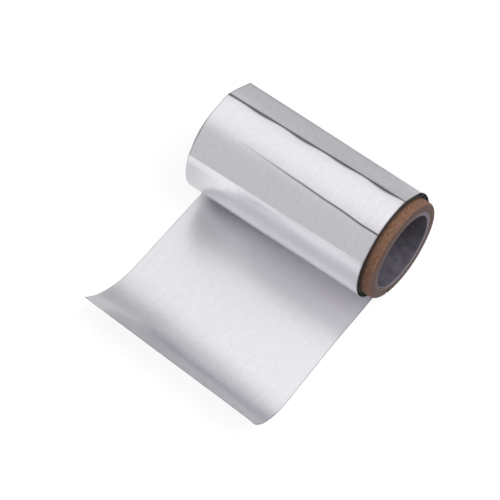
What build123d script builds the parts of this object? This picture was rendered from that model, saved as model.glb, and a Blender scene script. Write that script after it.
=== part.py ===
from build123d import *
import os
from math import asin, cos, degrees, radians, sin, sqrt

# Frame: the origin is on the roll's axis at the middle of the foil's width.
# +X runs along the axis towards the long core stub, +Z is up, and the tail lies towards -Y.
# Angles round the roll start at +Y, the back, and rise through +Z, the top.
# Far means the end at -X, near means the end at +X.

# Cardboard core
core_outer_diameter = 50.8
core_wall = 6.35
near_stub = 5.6
far_stub = 0.9
near_rim_bevel = 0.8
rim_bevel = 0.35

# Small split in the near rim of the core
nick_angle = 243.0
nick_width = 1.2
nick_depth = 1.7
nick_length = 1.6

# Wound pack of tight turns
foil_width = 100.0
pack_build = 1.8
turn_pitch = 0.8
turn_gap = 0.14
turn_gap_depth = 0.6
first_turn_land = 0.26

# Outermost turn and tail
sheet_thickness = 0.25
flat_spot_depth = 0.2

# Creases of the loose outermost turn: each angle, and its height above the tight turns
leave_angle = -35.0
back_angle_far = 8.0
back_angle_near = 4.0
back_lift_far = 0.9
back_lift_near = 0.7
ridge_angle_far = 47.0
ridge_angle_near = 45.0
ridge_lift_far = 3.9
ridge_lift_near = 0.6
top_angle_far = 77.5
top_angle_near = 75.0
top_lift_far = 0.9
top_lift_near = 0.8
front_angle_far = 112.0
front_angle_near = 118.0
front_lift = 0.45
low_angle_far = 151.0
low_angle_near = 148.0
low_lift = 0.5
belly_angle = 186.0
belly_lift_far = 0.3
belly_lift_near = 0.6
under_angle = 222.0
under_lift = 0.3
join_angle = 240.0
join_sink = 0.15

# How far each span between two creases is bowed: 0 is a flat facet, 1 follows the roll
back_fullness = 0.75
facet_fullness = 0.12
front_fullness = 0.85

# Curl of the tail's free end
far_curl_start = 72.5
far_curl_radius = 37.0
far_curl_angle = 58.0
near_curl_start = 81.5
near_curl_radius = 26.8
near_curl_angle = 78.0

core_radius = core_outer_diameter / 2
pack_radius = core_radius + pack_build
roll_radius = pack_radius + sheet_thickness
floor_height = flat_spot_depth - roll_radius
far_edge = -foil_width / 2
near_edge = foil_width / 2


def at(x, angle, radius, center=(0.0, 0.0)):
    """Point across the axis at x, at an angle and a radius round a centre."""
    turn = radians(angle)
    return Vector(x, center[0] + radius * cos(turn), center[1] + radius * sin(turn))


def arc(x, radius, start, end, center=(0.0, 0.0)):
    """Circular arc across the axis at x, from one angle to another."""
    angles = (start, (start + end) / 2, end)
    return ThreePointArc([at(x, angle, radius, center) for angle in angles])


def bowed_span(start, end, fullness):
    """Span of foil between two creases, bowed away from the axis."""
    middle = (start + end) / 2
    half_chord = (end - start).length / 2
    sagitta = roll_radius - sqrt(roll_radius**2 - half_chord**2)
    outward = Vector(0, middle.Y, middle.Z).normalized()
    return ThreePointArc(start, middle + outward * (fullness * sagitta), end)


def far_creases():
    """Angle, height and fullness of the span up to each crease, at the far edge."""
    return [
        (back_angle_far, back_lift_far, back_fullness),
        (ridge_angle_far, ridge_lift_far, back_fullness),
        (top_angle_far, top_lift_far, facet_fullness),
        (front_angle_far, front_lift, front_fullness),
        (low_angle_far, low_lift, front_fullness),
        (belly_angle, belly_lift_far, front_fullness),
        (under_angle, under_lift, front_fullness),
    ]


def near_creases():
    """Angle, height and fullness of the span up to each crease, at the near edge."""
    return [
        (back_angle_near, back_lift_near, back_fullness),
        (ridge_angle_near, ridge_lift_near, back_fullness),
        (top_angle_near, top_lift_near, facet_fullness),
        (front_angle_near, front_lift, front_fullness),
        (low_angle_near, low_lift, front_fullness),
        (belly_angle, belly_lift_near, front_fullness),
        (under_angle, under_lift, front_fullness),
    ]


def sheet_face_path(x, creases, curl, inset):
    """One face of the sheet: up the curl, under the roll, over it and into the tight turns."""
    curl_start, curl_radius, curl_angle = curl
    # The inner face sinks into the tight turns, so that both are one piece.
    tight_radius = pack_radius - flat_spot_depth / 2 if inset else roll_radius
    # The outer face bulges a little below the surface it lies on, and is pressed flat afterwards.
    level = floor_height + inset if inset else floor_height - flat_spot_depth / 4
    curl_center = (-curl_start, floor_height + curl_radius)
    contact_angle = degrees(asin(level / tight_radius))
    contact_side = sqrt(tight_radius**2 - level**2)
    path = [
        arc(x, curl_radius - inset, -90.0 - curl_angle, -90.0, curl_center),
        Line((x, -curl_start, level), (x, contact_side, level)),
        arc(x, tight_radius, contact_angle, leave_angle),
    ]
    start = at(x, leave_angle, tight_radius)
    join = (join_angle, -sheet_thickness - join_sink, front_fullness)
    for angle, lift, fullness in creases + [join]:
        end = at(x, angle, roll_radius + lift - inset)
        path.append(bowed_span(start, end, fullness))
        start = end
    return path


def sheet_outline(x, creases, curl):
    """Closed outline of the tail and outermost turn across the axis at x."""
    outside = sheet_face_path(x, creases, curl, 0.0)
    inside = sheet_face_path(x, creases, curl, sheet_thickness)
    join_cap = Line(outside[-1] @ 1, inside[-1] @ 1)
    tail_cap = Line(outside[0] @ 0, inside[0] @ 0)
    return Wire(outside + [join_cap] + inside[::-1] + [tail_cap])


def loose_sheet():
    """Outermost turn and tail, ruled straight from edge to edge of the foil."""
    far_curl = (far_curl_start, far_curl_radius, far_curl_angle)
    near_curl = (near_curl_start, near_curl_radius, near_curl_angle)
    far_outline = sheet_outline(far_edge, far_creases(), far_curl)
    near_outline = sheet_outline(near_edge, near_creases(), near_curl)
    sheet = Solid.make_loft([far_outline, near_outline], ruled=True)
    return sheet - below_floor()


def below_floor():
    """Block below the flat surface that the tail and the flat spot lie on."""
    reach = 2 * (near_curl_start + near_curl_radius + far_curl_start + far_curl_radius + roll_radius)
    block = Box(2 * foil_width, reach, roll_radius, align=(Align.CENTER, Align.CENTER, Align.MAX))
    return Pos(0, 0, floor_height) * block


def turn_groove(x, direction):
    """Spiral gap between turns in one end of the pack: half circles about two centres."""
    room = pack_build - first_turn_land - turn_gap
    step = turn_pitch / 2
    half_turns = int((room - first_turn_land / 2) / step)
    start_radius = core_radius + first_turn_land + turn_gap / 2
    walls = []
    for side in (-turn_gap / 2, turn_gap / 2):
        wall = []
        for half in range(half_turns):
            center = (step * (half % 2), 0.0)
            start = 180.0 * (half % 2)
            wall.append(arc(x, start_radius + step * half + side, start, start + 180.0, center))
        walls.append(wall)
    start_cap = Line(walls[0][0] @ 0, walls[1][0] @ 0)
    end_cap = Line(walls[0][-1] @ 1, walls[1][-1] @ 1)
    spiral = Face(Wire([start_cap] + walls[1] + [end_cap] + walls[0][::-1]))
    return extrude(spiral, amount=turn_gap_depth, dir=(direction, 0, 0))


def tight_turns():
    """Pack of tight turns wound on the core, with the turns open at both ends."""
    ring = Circle(pack_radius) - Circle(core_radius)
    pack = extrude(Plane.YZ.offset(far_edge) * ring, foil_width)
    return pack - turn_groove(far_edge, 1) - turn_groove(near_edge, -1)


def foil_web():
    """The whole foil: tight turns, loose outermost turn and tail, one continuous web."""
    return tight_turns() + loose_sheet()


def rim_nick():
    """Wedge split out of the near rim of the core."""
    near_end = near_edge + near_stub
    half_width = degrees(nick_width / 2 / core_radius)
    mouth_radius = core_radius + nick_width / 2
    mouth = [at(near_end, nick_angle + turn, mouth_radius) for turn in (-half_width, half_width)]
    root = at(near_end, nick_angle, core_radius - nick_depth)
    tip = at(near_end - nick_length, nick_angle, mouth_radius)
    faces = [
        Face(Wire.make_polygon([mouth[0], mouth[1], root])),
        Face(Wire.make_polygon([mouth[0], mouth[1], tip])),
        Face(Wire.make_polygon([mouth[0], root, tip])),
        Face(Wire.make_polygon([mouth[1], root, tip])),
    ]
    return Solid(Shell(faces))


def core_tube():
    """Cardboard tube, longer than the foil at both ends, with worn rims."""
    length = far_stub + foil_width + near_stub
    middle = (near_stub - far_stub) / 2
    section = Pos(middle, core_radius - core_wall / 2) * Rectangle(length, core_wall)
    near_outer_corner = section.vertices().sort_by(Axis.Y)[2:].sort_by(Axis.X)[-1:]
    section = chamfer(near_outer_corner, near_rim_bevel)
    near_inner_corner = section.vertices().sort_by(Axis.Y)[:2].sort_by(Axis.X)[-1:]
    section = chamfer(near_inner_corner, rim_bevel)
    far_corners = section.vertices().sort_by(Axis.X)[:2]
    section = chamfer(far_corners, rim_bevel)
    return revolve(section, Axis.X) - rim_nick()


os.makedirs("parts", exist_ok=True)
export_step(core_tube(), "parts/core_tube.step")
export_step(foil_web(), "parts/foil_web.step")
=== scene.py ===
import math

import bpy
import numpy as np
from mathutils import Matrix, Vector


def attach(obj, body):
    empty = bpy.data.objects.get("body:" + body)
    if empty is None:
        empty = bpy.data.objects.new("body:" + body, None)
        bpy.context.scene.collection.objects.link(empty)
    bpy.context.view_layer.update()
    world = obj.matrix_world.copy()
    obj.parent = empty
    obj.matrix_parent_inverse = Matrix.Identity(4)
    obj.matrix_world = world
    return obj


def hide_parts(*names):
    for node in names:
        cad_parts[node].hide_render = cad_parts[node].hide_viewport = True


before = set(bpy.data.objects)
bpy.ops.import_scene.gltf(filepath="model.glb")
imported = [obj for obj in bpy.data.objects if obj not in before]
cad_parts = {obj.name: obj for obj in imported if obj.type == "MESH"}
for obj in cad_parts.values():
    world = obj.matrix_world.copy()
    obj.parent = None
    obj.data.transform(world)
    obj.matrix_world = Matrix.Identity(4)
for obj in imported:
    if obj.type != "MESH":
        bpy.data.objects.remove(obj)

# Frame: metres, origin on the roll's axis at the middle of the foil's width. +X runs along the
# axis towards the long core stub (the near end), +Z is up, and the tail lies towards -Y.
# The shapes are written in millimetres, as in the CAD source, and scaled when a mesh is made.
# Angles round the roll start at +Y, the back, and rise through +Z, the top.

MM = 0.001
SEED = 7

# Length for one unit of a UV coordinate
UV_UNIT = 100.0

# Core
CORE_RADIUS = 25.4
BORE_RADIUS = 19.05
CORE_FAR = -50.9
CORE_NEAR = 55.6
NEAR_RIM_ROUND = 1.5
RIM_ROUND = 0.45
WORN_LENGTH = 4.0
WOBBLE = 0.02
PLY_PITCH = 0.62
PLY_RELIEF = 0.05
PLY_STEPS = 6
CORE_SIDES = 288

# Split in the near rim
NICK_ANGLE = 243.0
NICK_HALF_ANGLE = 2.4
NICK_REACH = 4.6
NICK_DEPTH = 1.5
NICK_DENT = 0.8
NICK_CROOK = 0.35

# Foil
FOIL_HALF_WIDTH = 50.0
PACK_RADIUS = 26.72
ROLL_RADIUS = 27.45
SHEET_THICKNESS = 0.14
FLOOR_HEIGHT = -27.25

# Tight turns
PACK_CLEARANCE = 0.02
PACK_INSET_FAR = 1.2
PACK_INSET_NEAR = 0.25
TURN_PITCH = 0.24
TURN_STEPS = 8
TURN_RELIEF = 0.22
TURN_UNEVENNESS = 0.10
TURN_LEVELS = 16
TURN_SIDES = 288

# Curl of the tail's free end: where it starts, its radius and its angle
FAR_CURL = (67.0, 45.5, 52.5)
NEAR_CURL = (81.5, 26.8, 78.0)

# The tail was drawn out a little askew, and the outermost turn's far edge lies further in.
TAIL_SKEW = 1.8
SKEW_LENGTH = 125.0
RIDGE_DRAWN_IN = 1.3
FRONT_DRAWN_IN = 0.3

# Creases of the loose outermost turn, in order from where it leaves the floor at the back.
# Each has, for the far and the near end: angle, height above the roll, softness along the sheet.
# The fullness of the span up to it says how far that span is bowed: 0 is flat, 1 follows the roll.
LEAVE_ANGLE = -35.0
CREASES = {
    "back": ((8.0, 0.9, 1.6), (4.0, 0.7, 1.6), 0.75),
    "ridge": ((47.0, 2.5, 0.45), (45.0, 0.6, 0.35), 0.75),
    "top": ((77.6, 0.9, 0.28), (75.1, 0.8, 0.22), 0.12),
    "front": ((112.0, 0.45, 4.0), (118.0, 0.45, 0.25), 0.85),
    "low": ((151.0, 0.5, 0.35), (148.0, 0.5, 0.35), 0.6),
    "belly": ((186.0, 0.3, 3.0), (186.0, 0.6, 3.0), 0.95),
    "under": ((222.0, 0.3, 3.0), (222.0, 0.3, 3.0), 1.0),
    "closing": ((248.0, -0.3, 3.0), (248.0, -0.3, 3.0), 1.0),
    "tucked": ((300.0, -0.55, 3.0), (300.0, -0.55, 3.0), 1.0),
}
SHARP_CREASES = ("ridge", "top", "front", "low")

# Softness away from the creases, how little it weighs beside theirs, how many times its own
# softness a crease reaches, and the least softness
SOFT_ELSEWHERE = 1.2
SOFT_WEIGHT = 0.02
SOFT_REACH = 2.5
LEAST_SOFT = 0.02

# Points of the sheet's path in the curl, in the flat of the tail, under the roll, and in the
# span up to each crease; step of the path that is softened; slices across the foil
CURL_POINTS = 92
FLAT_POINTS = 46
CONTACT_POINTS = 18
SPAN_POINTS = {
    "back": 20,
    "ridge": 30,
    "top": 44,
    "front": 50,
    "low": 46,
    "belly": 26,
    "under": 20,
    "closing": 14,
    "tucked": 16,
}
PATH_STEP = 0.06
SLICES = 80

# Kinks of the two long creases, as seed and slope, and how far along the web they reach
KINKS = {"top": (SEED + 7, 0.050), "front": (SEED + 8, 0.032)}
KINK_REACH = 2.2

# How far the headings of the foil's waves spread from straight along the web, in radians
HEADING_SPREAD = 0.35

# Depth of the groove along the front crease and height of the low one
FRONT_GROOVE = 0.03
LOW_RIDGE = 0.05

# How far the tail stands off the surface: all over its flat, and beside its near edge
BILLOW_HEIGHT = 0.10
BRIDGE_HEIGHT = 0.9

# How far the foil is painted towards the dark shade colour, from 0 to 1: the first three are painted
# shade along the top crease, the ridge crease and the sheet's edges. The last three are no creases:
# they are painted in to match the photo, where those places mirror something darker than this studio,
# so they are painted dark reflections at the tail's far corner and low on the roll's far end, and
# painted shade in the crevice.
TOP_DARK = 0.94
RIDGE_DARK = 0.5
BORDER_DARK = 0.45
TAIL_CORNER_DARK = 0.64
LOW_FRONT_DARK = 0.36
CREVICE_DARK = 0.45

# Board colours: outside and cut end from darkest to lightest fibre, liner, the liner's edge, the
# painted shadow in the strip beside the foil, and the painted shade in the split
OUTSIDE_TONES = [
    (0.25, (0.090, 0.040, 0.022)),
    (0.5, (0.165, 0.082, 0.049)),
    (0.8, (0.290, 0.160, 0.106)),
]
CUT_TONES = [
    (0.36, (0.028, 0.015, 0.013)),
    (0.5, (0.085, 0.050, 0.042)),
    (0.66, (0.160, 0.110, 0.095)),
]
LINER_TONES = [(0.3, (0.062, 0.055, 0.070)), (0.7, (0.115, 0.104, 0.130))]
LIP_PALE = (0.205, 0.185, 0.210)
LIP_SLATE = (0.105, 0.100, 0.130)
FOIL_EDGE_SHADOW = (0.020, 0.012, 0.009)
SPLIT_SHADE = (0.012, 0.007, 0.005)

# Where the painted shadow beside the foil is deepest and where it ends, in metres from the middle
FOIL_EDGE_SHADOW_FROM = 0.0500
FOIL_EDGE_SHADOW_TO = 0.0518

# Floor: white as far as the first distance, and the grey of the room from the second on, in
# metres; its half width; the strength of its glow, and the glow's share in what the camera sees
WHITE_FLOOR = 0.18
GREY_FLOOR = 0.42
FLOOR_REACH = 6000.0
FLOOR_GLOW = 1.03
GLOW_SHARE = 0.84

# Room: where it is brightest, how it falls off from there, how it darkens below at the back, and
# how it darkens below on the near side
BRIGHT_DIRECTION = (-0.344, 0.259, 0.903)
LOBE_TONES = [(0.78, 0.57), (0.82, 0.59), (0.892, 0.70), (0.948, 0.83), (1.0, 0.90)]
BACK_TONES = [(0.0, 0.83), (0.1, 0.835), (0.3, 0.90), (0.5, 1.0)]
SIDE_TONES = [(0.0, 0.35), (0.3, 0.45), (0.6, 1.0)]
ROOM_STRENGTH = 1.05

# Camera, as fitted to the photograph
CAMERA_AT = (313.462, -412.405, 772.675)
CAMERA_AZIMUTH = 40.24188
CAMERA_ELEVATION = 57.84977
CAMERA_ROLL = -2.27308
CAMERA_LENS = 144.0
CAMERA_SENSOR = 36.0


def new_object(name, vertices, faces, materials, face_material, smooth):
    """Mesh object from arrays in millimetres."""
    mesh = bpy.data.meshes.new(name)
    mesh.from_pydata((np.asarray(vertices) * MM).tolist(), [], [list(map(int, f)) for f in faces])
    for material in materials:
        mesh.materials.append(material)
    mesh.polygons.foreach_set("material_index", np.asarray(face_material, np.int32))
    mesh.polygons.foreach_set("use_smooth", np.asarray(smooth, bool))
    mesh.update()
    obj = bpy.data.objects.new(name, mesh)
    bpy.context.scene.collection.objects.link(obj)
    return obj


def add_uv(obj, uv):
    """UV layer from one coordinate pair per vertex."""
    mesh = obj.data
    layer = mesh.uv_layers.new(name="web")
    corner_vertex = np.empty(len(mesh.loops), np.int32)
    mesh.loops.foreach_get("vertex_index", corner_vertex)
    layer.data.foreach_set("uv", np.asarray(uv, np.float32)[corner_vertex].ravel())


def add_attribute(obj, name, values):
    """Float attribute with one value per vertex."""
    attribute = obj.data.attributes.new(name, "FLOAT", "POINT")
    attribute.data.foreach_set("value", np.asarray(values, np.float32))


def rim_edges(obj, kinds):
    """True for each edge between faces of two kinds."""
    mesh = obj.data
    seen = {}
    mixed = set()
    for polygon in mesh.polygons:
        kind = kinds[polygon.index]
        for key in polygon.edge_keys:
            if seen.setdefault(key, kind) != kind:
                mixed.add(key)
    return [tuple(sorted(edge.vertices)) in mixed for edge in mesh.edges]


def grid_faces(rows, columns, wrap_rows=False, start=0, flip=False):
    """Quads of a grid of vertices numbered row by row."""
    row = np.arange(rows if wrap_rows else rows - 1)
    i, j = np.meshgrid(row, np.arange(columns - 1), indexing="ij")
    k = (i + 1) % rows
    quads = np.stack([i * columns + j, i * columns + j + 1, k * columns + j + 1, k * columns + j], -1)
    quads = quads.reshape(-1, 4) + start
    return quads[:, ::-1] if flip else quads


def grid_normals(grid):
    """Unit normals of a grid of points, away from the roll's axis."""
    along = np.gradient(grid, axis=1)
    across = np.gradient(grid, axis=0)
    normal = np.cross(along, across)
    normal /= np.linalg.norm(normal, axis=2, keepdims=True)
    return normal


def ease(x):
    """Smooth step from 0 to 1."""
    x = np.clip(x, 0.0, 1.0)
    return x * x * (3.0 - 2.0 * x)


def line_falloff(along, line, width):
    """Bell curve that is 1 on a line."""
    return np.exp(-0.5 * ((along - line) / width) ** 2)


def waves(along, x, seed, count, shortest, longest, slope):
    """Slow unevenness of handled foil: a sum of long waves, each of about the same slope."""
    random = np.random.default_rng(seed)
    total = np.zeros(np.broadcast(along, x).shape)
    for _ in range(count):
        length = random.uniform(shortest, longest)
        heading = random.normal(0.0, HEADING_SPREAD)
        phase = random.uniform(0.0, 2.0 * math.pi)
        travel = along * math.cos(heading) + x * math.sin(heading)
        total += slope * length / (2.0 * math.pi) * np.sin(2.0 * math.pi * travel / length + phase)
    return total / math.sqrt(count)


# Path of the sheet


def polar(angle, radius):
    turn = math.radians(angle)
    return np.array([radius * math.cos(turn), radius * math.sin(turn)])


def arc_points(center, radius, start, end, fractions):
    turn = np.radians(start + (end - start) * fractions)
    return np.stack([center[0] + radius * np.cos(turn), center[1] + radius * np.sin(turn)], 1)


def bowed_points(start, end, fullness, fractions):
    """Circular span between two creases, bowed away from the axis."""
    chord = end - start
    half = np.linalg.norm(chord) / 2
    sagitta = fullness * (ROLL_RADIUS - math.sqrt(ROLL_RADIUS**2 - half**2))
    middle = (start + end) / 2
    outward = np.array([chord[1], -chord[0]]) / (2 * half)
    outward *= np.sign(outward @ middle)
    radius = (half**2 + sagitta**2) / (2 * sagitta)
    center = middle + outward * (sagitta - radius)
    first = math.atan2(*(start - center)[::-1])
    last = math.atan2(*(end - center)[::-1])
    sweep = (last - first + math.pi) % (2 * math.pi) - math.pi
    turn = first + sweep * fractions
    return np.stack([center[0] + radius * np.cos(turn), center[1] + radius * np.sin(turn)], 1)


def clustered(count, at_start=False, at_end=False):
    """Fractions from 0 to 1, closer together at the ends that have a crease."""
    t = np.linspace(0.0, 1.0, count, endpoint=False)
    if at_start and at_end:
        return 0.5 - 0.5 * np.cos(np.pi * t) * (0.55 + 0.45 * np.abs(np.cos(np.pi * t)))
    if at_end:
        return 1.0 - (1.0 - t) ** 2
    if at_start:
        return t**2
    return t


def sheet_curve(end):
    """Outer face of the sheet across the axis at one end: 0 is the far end, 1 the near end."""
    curl_start, curl_radius, curl_angle = (FAR_CURL, NEAR_CURL)[end]
    contact = math.degrees(math.asin(FLOOR_HEIGHT / ROLL_RADIUS))
    contact_side = math.sqrt(ROLL_RADIUS**2 - FLOOR_HEIGHT**2)
    curl_center = (-curl_start, FLOOR_HEIGHT + curl_radius)
    t = clustered(CURL_POINTS)
    parts = [arc_points(curl_center, curl_radius, -90.0 - curl_angle, -90.0, t)]
    t = clustered(FLAT_POINTS)[:, None]
    left, right = np.array([-curl_start, FLOOR_HEIGHT]), np.array([contact_side, FLOOR_HEIGHT])
    parts.append(left + (right - left) * t)
    t = clustered(CONTACT_POINTS)
    parts.append(arc_points((0, 0), ROLL_RADIUS, contact, LEAVE_ANGLE, t))
    marks = {}
    start = polar(LEAVE_ANGLE, ROLL_RADIUS)
    before = "leave"
    for name, (far, near, fullness) in CREASES.items():
        angle, lift, softness = (far, near)[end]
        stop = polar(angle, ROLL_RADIUS + lift)
        t = clustered(SPAN_POINTS[name], before in SHARP_CREASES, name in SHARP_CREASES)
        parts.append(bowed_points(start, stop, fullness, t))
        marks[name] = (sum(len(p) for p in parts), softness)
        start, before = stop, name
    parts.append(start[None])
    return np.concatenate(parts), marks


def arc_length(points):
    step = np.linalg.norm(np.diff(points, axis=0), axis=1)
    return np.concatenate([[0.0], np.cumsum(step)])


def softened(points, marks):
    """The path with each crease rounded by its own softness."""
    along = arc_length(points)
    fine = np.arange(0.0, along[-1], PATH_STEP)
    dense = np.stack([np.interp(fine, along, points[:, k]) for k in range(2)], 1)
    softness = np.full(len(points), SOFT_ELSEWHERE)
    weight = np.full(len(points), SOFT_WEIGHT)
    for index, soft in marks.values():
        mark = along[min(index, len(along) - 1)]
        near = line_falloff(along, mark, SOFT_REACH * min(max(soft, 0.8), 2.0))
        softness = softness + near * soft
        weight = weight + near
    softness = (softness - SOFT_ELSEWHERE + SOFT_WEIGHT * SOFT_ELSEWHERE) / weight
    # Near the ends the kernel is narrower, so that the sheet keeps its length.
    room = np.minimum(along, along[-1] - along) / SOFT_REACH
    softness = np.clip(np.minimum(softness, room), LEAST_SOFT, None)
    kernel = np.exp(-0.5 * ((fine[None] - along[:, None]) / softness[:, None]) ** 2)
    kernel /= kernel.sum(1, keepdims=True)
    result = kernel @ dense
    result[0], result[-1] = points[0], points[-1]
    return result, along


# Foil


def sheet_surface():
    """Outer face of the sheet as a grid, its length along the web, share across and creases."""
    curves, lengths = [], []
    for end in (0, 1):
        points, marks = sheet_curve(end)
        curve, along = softened(points, marks)
        curves.append(curve)
        lengths.append(along)
    # The slices are closer together at the foil's edges.
    edge = np.array([0.002, 0.004, 0.007])
    middle = np.linspace(1.0 / SLICES, 1.0 - 1.0 / SLICES, SLICES - 1)
    across = np.concatenate([[0.0], edge, middle, 1.0 - edge[::-1], [1.0]])
    across = across[:, None, None]
    yz = curves[0][None] * (1.0 - across) + curves[1][None] * across
    share = across[:, :, 0]
    along = lengths[0][None] * (1.0 - share) + lengths[1][None] * share
    skew = TAIL_SKEW * (1.0 + 0.5 * share) * ease(1.0 - along / SKEW_LENGTH)
    inside = {name: index for name, (index, _) in marks.items() if index < along.shape[1]}
    lines = {name: along[:, index][:, None] for name, index in inside.items()}
    drawn_in = RIDGE_DRAWN_IN * line_falloff(along, lines["ridge"], 7.0)
    front = ease((along - lines["top"]) / 8.0) * (1.0 - ease((along - lines["belly"]) / 10.0))
    drawn_in += FRONT_DRAWN_IN * front
    x = (2.0 * share - 1.0) * FOIL_HALF_WIDTH + skew + drawn_in * (1.0 - share) ** 3
    grid = np.concatenate([x[:, :, None], yz], 2)
    return grid, along, share, lines


def kinked(grid, along, lines):
    """The sheet with its two long creases wandering a little, and the wander of the top one."""
    x = grid[:, :, 0]
    tangent = np.gradient(grid, axis=1)
    tangent /= np.linalg.norm(tangent, axis=2, keepdims=True)
    wander = {}
    for name, (seed, slope) in KINKS.items():
        wander[name] = waves(x, 0.0 * along, seed, count=5, shortest=9.0, longest=26.0, slope=slope)
        shift = wander[name] * line_falloff(along, lines[name], KINK_REACH)
        grid = grid + tangent * shift[:, :, None]
    return grid, wander["top"]


def front_fade(share):
    """How strongly the front crease shows: not at all at the far end, and in full past the middle."""
    return ease((share - 0.12) / 0.5)


def sheet_relief(grid, along, share, x, lines):
    """Height of the sheet's small forms in millimetres, away from the axis."""
    relief = -FRONT_GROOVE * front_fade(share) * line_falloff(along, lines["front"], 0.26)
    relief = relief + LOW_RIDGE * line_falloff(along, lines["low"], 0.40)
    # The sheet is uneven where it is free, and quiet where it touches the surface and the roll.
    lifted = ease((along - lines["back"] + 10.0) / 20.0)
    on_tail = 1.0 - ease((along - 20.0) / 25.0)
    uneven = waves(along, x, SEED, count=11, shortest=7.0, longest=34.0, slope=0.020)
    relief = relief + uneven * (lifted + on_tail)
    # The flat of the tail billows a little off the surface.
    flat = ease((along - 30.0) / 25.0) * (1.0 - ease((along - 70.0) / 30.0))
    billow = waves(along, x, SEED + 5, count=7, shortest=24.0, longest=60.0, slope=0.016)
    relief = relief - np.maximum(BILLOW_HEIGHT + billow, 0.0) * flat
    # Beside the near edge it stands off the surface between the roll and the curl.
    y = grid[:, :, 1]
    bridge = ease((-22.0 - y) / 28.0) * (1.0 - ease((-52.0 - y) / 28.0)) * ease((share - 0.3) / 0.5)
    return relief - BRIDGE_HEIGHT * bridge


def sheet_darkness(grid, along, share, lines, wander):
    """How far the sheet is painted towards the dark shade colour, from 0 to 1."""
    width = 0.62 - 0.06 * share + 0.8 * wander
    # Painted shade along the top and front creases, the ridge and the sheet's edges
    dark = TOP_DARK * line_falloff(along, lines["top"] - 0.05, width)
    front = front_fade(share) * (0.55 + 0.45 * share)
    dark = np.maximum(dark, front * line_falloff(along, lines["front"], 0.30))
    dark = np.maximum(dark, RIDGE_DARK * line_falloff(along, lines["ridge"], 0.6))
    border = np.minimum(FOIL_HALF_WIDTH * 2.0 * np.minimum(share, 1.0 - share), along)
    dark = np.maximum(dark, BORDER_DARK * line_falloff(border, 0.0, 0.30))
    # Painted dark reflection at the tail's far corner and low down on the roll's far end
    corner = TAIL_CORNER_DARK * ease(1.0 - along / 34.0) * ease(1.0 - share / 0.42)
    low_front = ease((along - lines["low"]) / 6.0) * (1.0 - ease((along - lines["under"]) / 10.0))
    low_front = LOW_FRONT_DARK * low_front * ease(1.0 - share / 0.30)
    dark = np.maximum(dark, np.maximum(corner, low_front))
    # Painted shade in the crevice between the tail and the roll, most of all at the far end
    crevice = CREVICE_DARK * line_falloff(grid[:, :, 1], -16.0, 4.0) * (1.0 - ease(share / 0.85))
    return np.maximum(dark, crevice * (grid[:, :, 2] < FLOOR_HEIGHT + 1.0))


def slab_faces(rows, columns):
    """Faces of a thick sheet: its outer face, its inner face and its rim."""
    count = rows * columns
    rim = []
    for border in (
        np.arange(columns),
        np.arange(columns)[::-1] + (rows - 1) * columns,
        np.arange(rows)[::-1] * columns,
        np.arange(rows) * columns + columns - 1,
    ):
        rim.append(np.stack([border[:-1], border[1:], border[1:] + count, border[:-1] + count], 1))
    outer = grid_faces(rows, columns)
    inner = grid_faces(rows, columns, start=count, flip=True)
    return [outer, inner, np.concatenate(rim)[:, ::-1]]


def foil_sheet(materials):
    """Loose outermost turn and tail: one thick sheet with creases."""
    grid, along, share, lines = sheet_surface()
    x = grid[:, :, 0]
    grid, wander = kinked(grid, along, lines)
    relief = sheet_relief(grid, along, share, x, lines)
    outer = grid + grid_normals(grid) * relief[:, :, None]
    outer[:, :, 2] = np.maximum(outer[:, :, 2], FLOOR_HEIGHT)
    inner = outer - grid_normals(outer) * SHEET_THICKNESS
    vertices = np.concatenate([outer.reshape(-1, 3), inner.reshape(-1, 3)])
    faces = slab_faces(*along.shape)
    kinds = np.concatenate([np.full(len(f), k) for k, f in enumerate(faces)])
    faces = np.concatenate(faces)
    # The rim, which is the last kind, is flat, and the two faces are smooth.
    obj = new_object("foil_sheet", vertices, faces, materials, kinds, kinds < 2)
    obj.data.edges.foreach_set("use_edge_sharp", rim_edges(obj, kinds))
    uv = np.stack([along.ravel(), x.ravel()], 1) / UV_UNIT
    add_uv(obj, np.concatenate([uv, uv]))
    dark = sheet_darkness(grid, along, share, lines, wander).ravel()
    add_attribute(obj, "painted_shade", np.concatenate([dark, dark]))
    return obj


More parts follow.
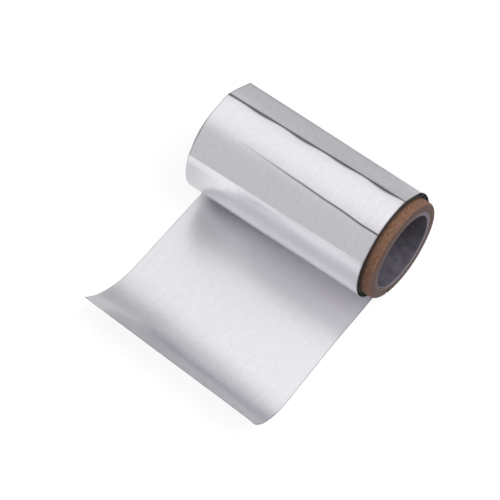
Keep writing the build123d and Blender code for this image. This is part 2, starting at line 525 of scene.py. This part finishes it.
def foil_turns(materials):
    """Pack of tight turns on the core: a ring whose ends show the turns as fine ridges."""
    bore = CORE_RADIUS + PACK_CLEARANCE
    radii = np.linspace(bore, PACK_RADIUS, TURN_STEPS * int((PACK_RADIUS - bore) / TURN_PITCH) + 1)
    angles = np.linspace(0.0, 2.0 * math.pi, TURN_SIDES, endpoint=False)
    turn, radius = np.meshgrid(angles, radii, indexing="ij")
    phase = (radius - bore) / TURN_PITCH - turn / (2.0 * math.pi)
    groove = 0.5 - 0.5 * np.cos(2.0 * math.pi * phase)
    step = np.floor(phase).astype(int) % TURN_LEVELS
    fade = np.clip(np.minimum(radius - bore, PACK_RADIUS - radius) / 0.1, 0.0, 1.0)
    columns = len(radii)
    count = TURN_SIDES * columns
    vertices, faces, kinds, depth = [], [], [], []
    for end, pack_inset, seed in ((-1.0, PACK_INSET_FAR, SEED + 1), (1.0, PACK_INSET_NEAR, SEED + 2)):
        random = np.random.default_rng(seed)
        level = random.normal(0.0, TURN_UNEVENNESS, TURN_LEVELS)
        inset = (TURN_RELIEF * groove + level[step] * (1.0 - groove)) * fade
        x = end * (FOIL_HALF_WIDTH - pack_inset - np.maximum(inset, 0.0))
        points = np.stack([x, radius * np.cos(turn), radius * np.sin(turn)], 2)
        start = count * len(vertices)
        vertices.append(points.reshape(-1, 3))
        # The grooves' depth, which the edge material paints as shade in the gaps between the turns
        depth.append((groove * fade).ravel())
        faces.append(grid_faces(TURN_SIDES, columns, wrap_rows=True, start=start, flip=end < 0))
        kinds.append(np.ones(len(faces[-1]), int))
    i = np.arange(TURN_SIDES)
    k = (i + 1) % TURN_SIDES
    for column, flip in ((0, True), (columns - 1, False)):
        a, b = i * columns + column, k * columns + column
        side = np.stack([a, b, b + count, a + count], 1)
        faces.append(side[:, ::-1] if flip else side)
        kinds.append(np.zeros(len(side), int))
    faces, kinds = np.concatenate(faces), np.concatenate(kinds)
    smooth = np.ones(len(faces), bool)
    obj = new_object("foil_turns", np.concatenate(vertices), faces, materials, kinds, smooth)
    obj.data.edges.foreach_set("use_edge_sharp", rim_edges(obj, kinds))
    uv = np.stack([turn.ravel() * PACK_RADIUS, radius.ravel()], 1) / UV_UNIT
    add_uv(obj, np.concatenate([uv, uv]))
    add_attribute(obj, "painted_shade", np.concatenate(depth))
    return obj


# Core


def ply_groove(radius):
    """Depth of the cut end's relief at a radius: one shallow groove for each ply."""
    return PLY_RELIEF * (0.5 - 0.5 * math.cos(2.0 * math.pi * (radius - BORE_RADIUS) / PLY_PITCH))


def core_profile():
    """Half section of the core as points of x and radius, once round from the bore's far end."""
    x, r = [], []

    def add(px, pr):
        if not x or math.hypot(px - x[-1], pr - r[-1]) > 1e-4:
            x.append(px)
            r.append(pr)

    def corner(cx, cr, size, start, end, steps):
        for a in np.radians(np.linspace(start, end, steps)):
            add(cx + size * math.cos(a), cr + size * math.sin(a))

    for px in np.linspace(CORE_FAR + RIM_ROUND, CORE_NEAR - RIM_ROUND, 60)[:-1]:
        add(px, BORE_RADIUS)
    corner(CORE_NEAR - RIM_ROUND, BORE_RADIUS + RIM_ROUND, RIM_ROUND, -90.0, 0.0, 6)
    plies = np.arange(BORE_RADIUS + RIM_ROUND, CORE_RADIUS - NEAR_RIM_ROUND, PLY_PITCH / PLY_STEPS)[1:]
    for pr in plies:
        add(CORE_NEAR - ply_groove(pr), pr)
    corner(CORE_NEAR - NEAR_RIM_ROUND, CORE_RADIUS - NEAR_RIM_ROUND, NEAR_RIM_ROUND, 0.0, 90.0, 10)
    for px in np.linspace(CORE_NEAR - NEAR_RIM_ROUND, FOIL_HALF_WIDTH - 1.0, 14)[1:]:
        add(px, CORE_RADIUS)
    add(0.0, CORE_RADIUS)
    add(CORE_FAR + RIM_ROUND, CORE_RADIUS)
    corner(CORE_FAR + RIM_ROUND, CORE_RADIUS - RIM_ROUND, RIM_ROUND, 90.0, 180.0, 5)
    for pr in plies[::-1]:
        add(CORE_FAR + ply_groove(pr), pr)
    corner(CORE_FAR + RIM_ROUND, BORE_RADIUS + RIM_ROUND, RIM_ROUND, 180.0, 270.0, 5)
    # The last point is the first one again.
    return np.array(x)[:-1], np.array(r)[:-1]


def core_board(materials):
    """Cardboard tube: plies on the cut ends, a soft near rim and a split in it."""
    px, pr = core_profile()
    around = np.linspace(0.0, 360.0, CORE_SIDES, endpoint=False)
    at_split = NICK_ANGLE + np.linspace(-1.6, 1.6, 17) * NICK_HALF_ANGLE
    around = np.unique(np.round(np.concatenate([around, at_split]), 4))
    turn, x = np.meshgrid(np.radians(around), px, indexing="ij")
    radius = np.repeat(pr[None], len(around), 0)
    random = np.random.default_rng(SEED + 3)
    wobble = np.zeros_like(x)
    for k in range(2, 9):
        wobble += random.normal(0.0, WOBBLE) * np.cos(k * turn + random.uniform(0.0, 6.28) + 0.03 * x)
    # The worn near rim is the most crooked.
    at_near = ease((x - CORE_NEAR + WORN_LENGTH) / WORN_LENGTH)
    x = x + wobble * (at_near - 0.3)
    crooked = NICK_CROOK * np.sin(np.radians(NICK_ANGLE) + 6.0 * (radius - CORE_RADIUS))
    away = np.abs(np.degrees(turn) - NICK_ANGLE + crooked) / NICK_HALF_ANGLE
    reach = np.clip(1.0 - (CORE_RADIUS - radius) / NICK_REACH, 0.0, 1.0) * at_near
    cut = np.clip(1.0 - away, 0.0, 1.0) * reach
    x = x - NICK_DEPTH * cut
    radius = radius - NICK_DENT * cut
    points = np.stack([x, radius * np.cos(turn), radius * np.sin(turn)], 2).reshape(-1, 3)
    rows, columns = x.shape
    i = np.arange(rows)
    k = (i + 1) % rows
    last = columns - 1
    closing = np.stack([i * columns + last, i * columns, k * columns, k * columns + last], 1)
    faces = np.concatenate([grid_faces(rows, columns, wrap_rows=True), closing])
    kinds, smooth = np.zeros(len(faces), int), np.ones(len(faces), bool)
    obj = new_object("core_board", points, faces, materials, kinds, smooth)
    add_uv(obj, np.stack([turn.ravel() * CORE_RADIUS, x.ravel()], 1) / UV_UNIT)
    add_attribute(obj, "split", cut.ravel())
    return obj


# Nodes


def node_material(name):
    material = bpy.data.materials.new(name)
    material.use_nodes = True
    tree = material.node_tree
    shader = tree.nodes["Principled BSDF"]
    return material, tree, shader


def node(tree, kind, **settings):
    """Node of a kind, with its settings."""
    made = tree.nodes.new(kind)
    for key, value in settings.items():
        setattr(made, key, value)
    return made


def join(tree, *pairs):
    for start, end in pairs:
        tree.links.new(start, end)


def stretched_noise(tree, source, scale, detail, stretch=(1.0, 1.0, 1.0)):
    """Noise that can be drawn out along one direction of its coordinates."""
    mapping = node(tree, "ShaderNodeMapping")
    mapping.inputs["Scale"].default_value = stretch
    noise = node(tree, "ShaderNodeTexNoise")
    noise.inputs["Scale"].default_value = scale
    noise.inputs["Detail"].default_value = detail
    join(tree, (source, mapping.inputs["Vector"]), (mapping.outputs["Vector"], noise.inputs["Vector"]))
    return noise


def ramp(tree, source, stops):
    """Colour ramp with stops of position and grey level or colour."""
    made = node(tree, "ShaderNodeValToRGB")
    elements = made.color_ramp.elements
    while len(elements) < len(stops):
        elements.new(0.5)
    for element, (position, value) in zip(elements, stops):
        element.position = position
        colour = (value, value, value) if isinstance(value, float) else value
        element.color = (*colour, 1.0)
    join(tree, (source, made.inputs["Fac"]))
    return made


def map_range(tree, source, start, end, to=(0.0, 1.0), kind="LINEAR"):
    """Value carried from the range between start and end to another range."""
    made = node(tree, "ShaderNodeMapRange", interpolation_type=kind)
    made.inputs["From Min"].default_value = start
    made.inputs["From Max"].default_value = end
    made.inputs["To Min"].default_value = to[0]
    made.inputs["To Max"].default_value = to[1]
    join(tree, (source, made.inputs["Value"]))
    return made.outputs["Result"]


def multiply(tree, first, second):
    made = node(tree, "ShaderNodeMath", operation="MULTIPLY")
    join(tree, (first, made.inputs[0]), (second, made.inputs[1]))
    return made.outputs["Value"]


def dot_product(tree, source, direction):
    made = node(tree, "ShaderNodeVectorMath", operation="DOT_PRODUCT")
    made.inputs[1].default_value = direction
    join(tree, (source, made.inputs[0]))
    return made.outputs["Value"]


def vector_length(tree, source):
    made = node(tree, "ShaderNodeVectorMath", operation="LENGTH")
    join(tree, (source, made.inputs[0]))
    return made.outputs["Value"]


def mix_colour(tree, factor, first, second, kind="MIX"):
    """Mix of two colours, each a socket or a colour, by a socket or a number."""
    made = node(tree, "ShaderNodeMix", data_type="RGBA", blend_type=kind)
    if isinstance(factor, float):
        made.inputs["Factor"].default_value = factor
    else:
        join(tree, (factor, made.inputs["Factor"]))
    for value, socket in ((first, made.inputs["A"]), (second, made.inputs["B"])):
        if isinstance(value, tuple):
            socket.default_value = (*value, 1.0)
        else:
            join(tree, (value, socket))
    return made.outputs["Result"]


# Materials


def foil_material(name, colour, metallic, roughness, roughness_range, painted_shade_colour, streak_bump):
    """Rolled aluminium: fine streaks along the web, cloudy roughness, and painted shade where the
    mesh's shade attribute asks for it.
    """
    material, tree, shader = node_material(name)
    shader.inputs["Metallic"].default_value = metallic
    coordinates = node(tree, "ShaderNodeTexCoord").outputs["UV"]
    streaks = stretched_noise(tree, coordinates, scale=1.0, detail=2.0, stretch=(1.6, 160.0, 1.0))
    clouds = stretched_noise(tree, coordinates, scale=1.0, detail=4.0, stretch=(38.0, 46.0, 1.0))
    tone = mix_colour(tree, 0.55, streaks.outputs["Fac"], clouds.outputs["Fac"])
    darkest, lightest = (tuple(factor * c for c in colour) for factor in (0.935, 1.02))
    tinted = ramp(tree, tone, [(0.32, darkest), (0.68, lightest)])
    # The mesh's attribute paints shade at the creases, the crevice and the turns' gaps, and dark
    # reflections elsewhere, in the painted shade colour.
    painted_shade = node(tree, "ShaderNodeAttribute", attribute_name="painted_shade")
    base = mix_colour(tree, painted_shade.outputs["Fac"], tinted.outputs["Color"], painted_shade_colour)
    roughest = roughness + roughness_range
    rough = map_range(tree, tone, 0.3, 0.7, (roughness - roughness_range, roughest))
    bump = node(tree, "ShaderNodeBump")
    bump.inputs["Strength"].default_value = streak_bump
    bump.inputs["Distance"].default_value = 0.00002
    join(
        tree,
        (base, shader.inputs["Base Color"]),
        (rough, shader.inputs["Roughness"]),
        (tone, bump.inputs["Height"]),
        (bump.outputs["Normal"], shader.inputs["Normal"]),
    )
    return material


def turn_edge_material():
    """Edges of the wound turns: dull metal painted nearly black for the shade trapped between the
    turns, and painted blacker still as shade in the gaps.
    """
    material, tree, shader = node_material("foil_turn_edges")
    shader.inputs["Metallic"].default_value = 0.2
    depth = node(tree, "ShaderNodeAttribute", attribute_name="painted_shade")
    place = node(tree, "ShaderNodeTexCoord").outputs["Object"]
    grain = stretched_noise(tree, place, scale=900.0, detail=3.0).outputs["Fac"]
    edge = ramp(tree, grain, [(0.3, (0.012, 0.012, 0.011)), (0.7, (0.045, 0.045, 0.043))])
    base = mix_colour(tree, depth.outputs["Fac"], edge.outputs["Color"], (0.006, 0.006, 0.006))
    rough = ramp(tree, grain, [(0.2, 0.6), (0.8, 0.8)])
    join(
        tree,
        (base, shader.inputs["Base Color"]),
        (rough.outputs["Color"], shader.inputs["Roughness"]),
    )
    return material


def liner_edge(tree, place, share):
    """The grey liner's edge on the cut end: how much of it shows, and its colour."""
    # Two pale lines with a darker band between
    stops = [(0.04, LIP_PALE), (0.09, LIP_SLATE), (0.17, LIP_SLATE), (0.22, LIP_PALE)]
    tone = ramp(tree, share, stops)
    lip = ramp(tree, share, [(0.0, 0.0), (0.015, 1.0), (0.22, 0.9), (0.27, 0.0)])
    # It is worn away on the front side.
    side = dot_product(tree, place, (0.0, 0.866, -0.5))
    kept = map_range(tree, side, -0.010, 0.006, (0.3, 1.0), "SMOOTHSTEP")
    return multiply(tree, lip.outputs["Color"], kept), tone.outputs["Color"]


def board_material():
    """Brown core board: fibres outside, plies on the cut ends, a grey liner in the bore."""
    material, tree, shader = node_material("core_board")
    shader.inputs["Specular IOR Level"].default_value = 0.35
    place = node(tree, "ShaderNodeTexCoord").outputs["Object"]
    axis = node(tree, "ShaderNodeSeparateXYZ")
    join(tree, (place, axis.inputs["Vector"]))
    across = node(tree, "ShaderNodeCombineXYZ")
    join(tree, (axis.outputs["Y"], across.inputs["Y"]), (axis.outputs["Z"], across.inputs["Z"]))
    radius = vector_length(tree, across.outputs["Vector"])
    # Share of the way from the bore to the outside
    share = map_range(tree, radius, BORE_RADIUS * MM, CORE_RADIUS * MM)
    uv = node(tree, "ShaderNodeTexCoord").outputs["UV"]
    fibres = stretched_noise(tree, uv, scale=1.0, detail=5.0, stretch=(60.0, 160.0, 1.0))
    blotches = stretched_noise(tree, place, scale=260.0, detail=4.0)
    speckle = stretched_noise(tree, place, scale=1500.0, detail=3.0)
    outward = node(tree, "ShaderNodeCombineXYZ")
    join(tree, (radius, outward.inputs["X"]))
    rings = outward.outputs["Vector"]
    plies = stretched_noise(tree, rings, scale=1.0, detail=4.0, stretch=(1500.0, 1.0, 1.0))
    outside = ramp(tree, fibres.outputs["Fac"], OUTSIDE_TONES)
    cut = ramp(tree, plies.outputs["Fac"], CUT_TONES)
    liner = ramp(tree, blotches.outputs["Fac"], LINER_TONES)
    lip_shown, lip_tone = liner_edge(tree, place, share)
    to_outside = ramp(tree, share, [(0.80, 0.0), (1.0, 1.0)]).outputs["Color"]
    to_board = ramp(tree, share, [(0.004, 0.0), (0.02, 1.0)]).outputs["Color"]
    ends = mix_colour(tree, lip_shown, cut.outputs["Color"], lip_tone)
    brown = mix_colour(tree, to_outside, ends, outside.outputs["Color"])
    board = mix_colour(tree, to_board, liner.outputs["Color"], brown)
    speckled = mix_colour(tree, 0.18, board, speckle.outputs["Color"], "OVERLAY")
    # Beside the foil's edge the board is painted dark with the deep shadow beside the foil's proud
    # edge.
    from_middle = node(tree, "ShaderNodeMath", operation="ABSOLUTE")
    join(tree, (axis.outputs["X"], from_middle.inputs[0]))
    beside = map_range(tree, from_middle.outputs["Value"], FOIL_EDGE_SHADOW_FROM, FOIL_EDGE_SHADOW_TO, (0.85, 0.0))
    foil_edge_shadowed = mix_colour(tree, multiply(tree, beside, to_outside), speckled, FOIL_EDGE_SHADOW)
    # The split is painted near black: painted shade inside it.
    split = node(tree, "ShaderNodeAttribute", attribute_name="split")
    in_split = ramp(tree, split.outputs["Fac"], [(0.03, 0.0), (0.22, 1.0)])
    base = mix_colour(tree, in_split.outputs["Color"], foil_edge_shadowed, SPLIT_SHADE)
    rough = ramp(tree, to_board, [(0.0, 0.42), (1.0, 0.82)])
    grain = mix_colour(tree, 0.5, fibres.outputs["Fac"], speckle.outputs["Fac"])
    bump = node(tree, "ShaderNodeBump")
    bump.inputs["Strength"].default_value = 0.5
    bump.inputs["Distance"].default_value = 0.0001
    join(
        tree,
        (base, shader.inputs["Base Color"]),
        (rough.outputs["Color"], shader.inputs["Roughness"]),
        (grain, bump.inputs["Height"]),
        (bump.outputs["Normal"], shader.inputs["Normal"]),
    )
    return material


# Studio


def floor_material():
    """White floor: it shows white to the camera and in reflections, and keeps a soft shadow."""
    material = bpy.data.materials.new("studio_floor")
    material.use_nodes = True
    tree = material.node_tree
    tree.nodes.clear()
    path = node(tree, "ShaderNodeLightPath")
    seen = node(tree, "ShaderNodeMath", operation="MAXIMUM")
    seen_through = node(tree, "ShaderNodeMath", operation="MAXIMUM")
    share = node(tree, "ShaderNodeMath", operation="MULTIPLY")
    share.inputs[1].default_value = GLOW_SHARE
    diffuse = node(tree, "ShaderNodeBsdfDiffuse")
    glow = node(tree, "ShaderNodeEmission")
    glow.inputs["Strength"].default_value = FLOOR_GLOW
    away = vector_length(tree, node(tree, "ShaderNodeTexCoord").outputs["Object"])
    far_out = map_range(tree, away, WHITE_FLOOR, GREY_FLOOR, kind="SMOOTHSTEP")
    pale = mix_colour(tree, far_out, (1.0, 1.0, 1.0), (0.57, 0.57, 0.57))
    ground = mix_colour(tree, far_out, (0.9, 0.9, 0.9), (0.6, 0.6, 0.6))
    mixed = node(tree, "ShaderNodeMixShader")
    output = node(tree, "ShaderNodeOutputMaterial")
    join(
        tree,
        (pale, glow.inputs["Color"]),
        (ground, diffuse.inputs["Color"]),
        (path.outputs["Is Camera Ray"], seen.inputs[0]),
        (path.outputs["Is Glossy Ray"], seen.inputs[1]),
        (seen.outputs[0], seen_through.inputs[0]),
        (path.outputs["Is Transmission Ray"], seen_through.inputs[1]),
        (seen_through.outputs[0], share.inputs[0]),
        (share.outputs[0], mixed.inputs["Fac"]),
        (diffuse.outputs[0], mixed.inputs[1]),
        (glow.outputs[0], mixed.inputs[2]),
        (mixed.outputs[0], output.inputs["Surface"]),
    )
    return material


def studio_floor():
    signs = ((-1, -1), (1, -1), (1, 1), (-1, 1))
    corners = [(x * FLOOR_REACH, y * FLOOR_REACH, FLOOR_HEIGHT) for x, y in signs]
    floor = new_object("studio_floor", corners, [(0, 1, 2, 3)], [floor_material()], [0], [False])


def studio_world():
    """White room that is brightest overhead behind the object and greyer low at the back."""
    world = bpy.data.worlds.new("studio")
    bpy.context.scene.world = world
    world.use_nodes = True
    tree = world.node_tree
    background = tree.nodes["Background"]
    direction = node(tree, "ShaderNodeTexCoord").outputs["Generated"]
    toward = dot_product(tree, direction, Vector(BRIGHT_DIRECTION).normalized())
    lobe = ramp(tree, map_range(tree, toward, -1.0, 1.0), LOBE_TONES)
    lobe.color_ramp.interpolation = "EASE"
    part = node(tree, "ShaderNodeSeparateXYZ")
    join(tree, (direction, part.inputs["Vector"]))
    low = ramp(tree, part.outputs["Z"], BACK_TONES)
    behind = ramp(tree, part.outputs["Y"], [(0.0, 0.0), (0.5, 1.0)])
    shade = mix_colour(tree, behind.outputs["Color"], (1.0, 1.0, 1.0), low.outputs["Color"])
    # The near side of the room is darker below, which gives the metal contrast from behind.
    aside = ramp(tree, part.outputs["X"], [(0.1, 0.0), (0.45, 1.0)])
    wall = ramp(tree, part.outputs["Z"], SIDE_TONES)
    dim = mix_colour(tree, aside.outputs["Color"], (1.0, 1.0, 1.0), wall.outputs["Color"])
    shade = mix_colour(tree, 1.0, shade, dim, "MULTIPLY")
    light = mix_colour(tree, 1.0, lobe.outputs["Color"], shade, "MULTIPLY")
    join(tree, (light, background.inputs["Color"]))
    background.inputs["Strength"].default_value = ROOM_STRENGTH


def softbox(name, place, size, power):
    """Soft rectangular lamp that faces the object."""
    lamp = bpy.data.lights.new(name, "AREA")
    lamp.shape = "RECTANGLE"
    lamp.size, lamp.size_y = size
    lamp.energy = power
    obj = bpy.data.objects.new(name, lamp)
    obj.location = place
    obj.rotation_euler = Vector(place).to_track_quat("Z", "Y").to_euler()
    bpy.context.scene.collection.objects.link(obj)


def camera():
    data = bpy.data.cameras.new("camera")
    data.sensor_fit = "HORIZONTAL"
    data.sensor_width = CAMERA_SENSOR
    data.lens = CAMERA_LENS
    data.clip_start = 0.01
    obj = bpy.data.objects.new("camera", data)
    bpy.context.scene.collection.objects.link(obj)
    angles = (CAMERA_AZIMUTH, CAMERA_ELEVATION, CAMERA_ROLL)
    azimuth, elevation, roll = (math.radians(angle) for angle in angles)
    level = math.cos(elevation)
    back = Vector((math.sin(azimuth) * level, -math.cos(azimuth) * level, math.sin(elevation)))
    right = Vector((math.cos(azimuth), math.sin(azimuth), 0.0))
    up = back.cross(right)
    x_axis = right * math.cos(roll) + up * math.sin(roll)
    y_axis = up * math.cos(roll) - right * math.sin(roll)
    turn = Matrix((x_axis, y_axis, back)).transposed().to_4x4()
    obj.matrix_world = Matrix.Translation(Vector(CAMERA_AT) * MM) @ turn
    bpy.context.scene.camera = obj


def main():
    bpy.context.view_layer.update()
    # The shiny side's roughness stays below 0.27 and the satin side's above 0.28: between them
    # the render's denoising changes, which would leave blotches.
    shiny = foil_material(
        "foil_shiny_side",
        colour=(0.884, 0.868, 0.917),
        metallic=1.0,
        roughness=0.22,
        roughness_range=0.03,
        painted_shade_colour=(0.052, 0.050, 0.066),
        streak_bump=0.45,
    )
    satin = foil_material(
        "foil_satin_side",
        colour=(0.834, 0.823, 0.852),
        metallic=0.92,
        roughness=0.315,
        roughness_range=0.03,
        painted_shade_colour=(0.26, 0.25, 0.28),
        streak_bump=0.6,
    )
    cut = foil_material(
        "foil_cut_edge",
        colour=(0.16, 0.16, 0.165),
        metallic=1.0,
        roughness=0.5,
        roughness_range=0.04,
        painted_shade_colour=(0.05, 0.05, 0.05),
        streak_bump=0.2,
    )
    sheet = foil_sheet([shiny, satin, cut])
    turns = foil_turns([shiny, turn_edge_material()])
    core = core_board([board_material()])
    for piece, name, slot in (
        (sheet, "foil_web", "foil"),
        (turns, "foil_web", "foil"),
        (core, "core_tube", "core_board"),
    ):
        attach(piece, "root")
        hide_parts(name)
    studio_floor()
    studio_world()
    softbox("key_softbox", place=(0.9, 0.25, 1.4), size=(1.2, 1.2), power=24.0)
    camera()
    bpy.context.scene.view_settings.view_transform = "Standard"


main()
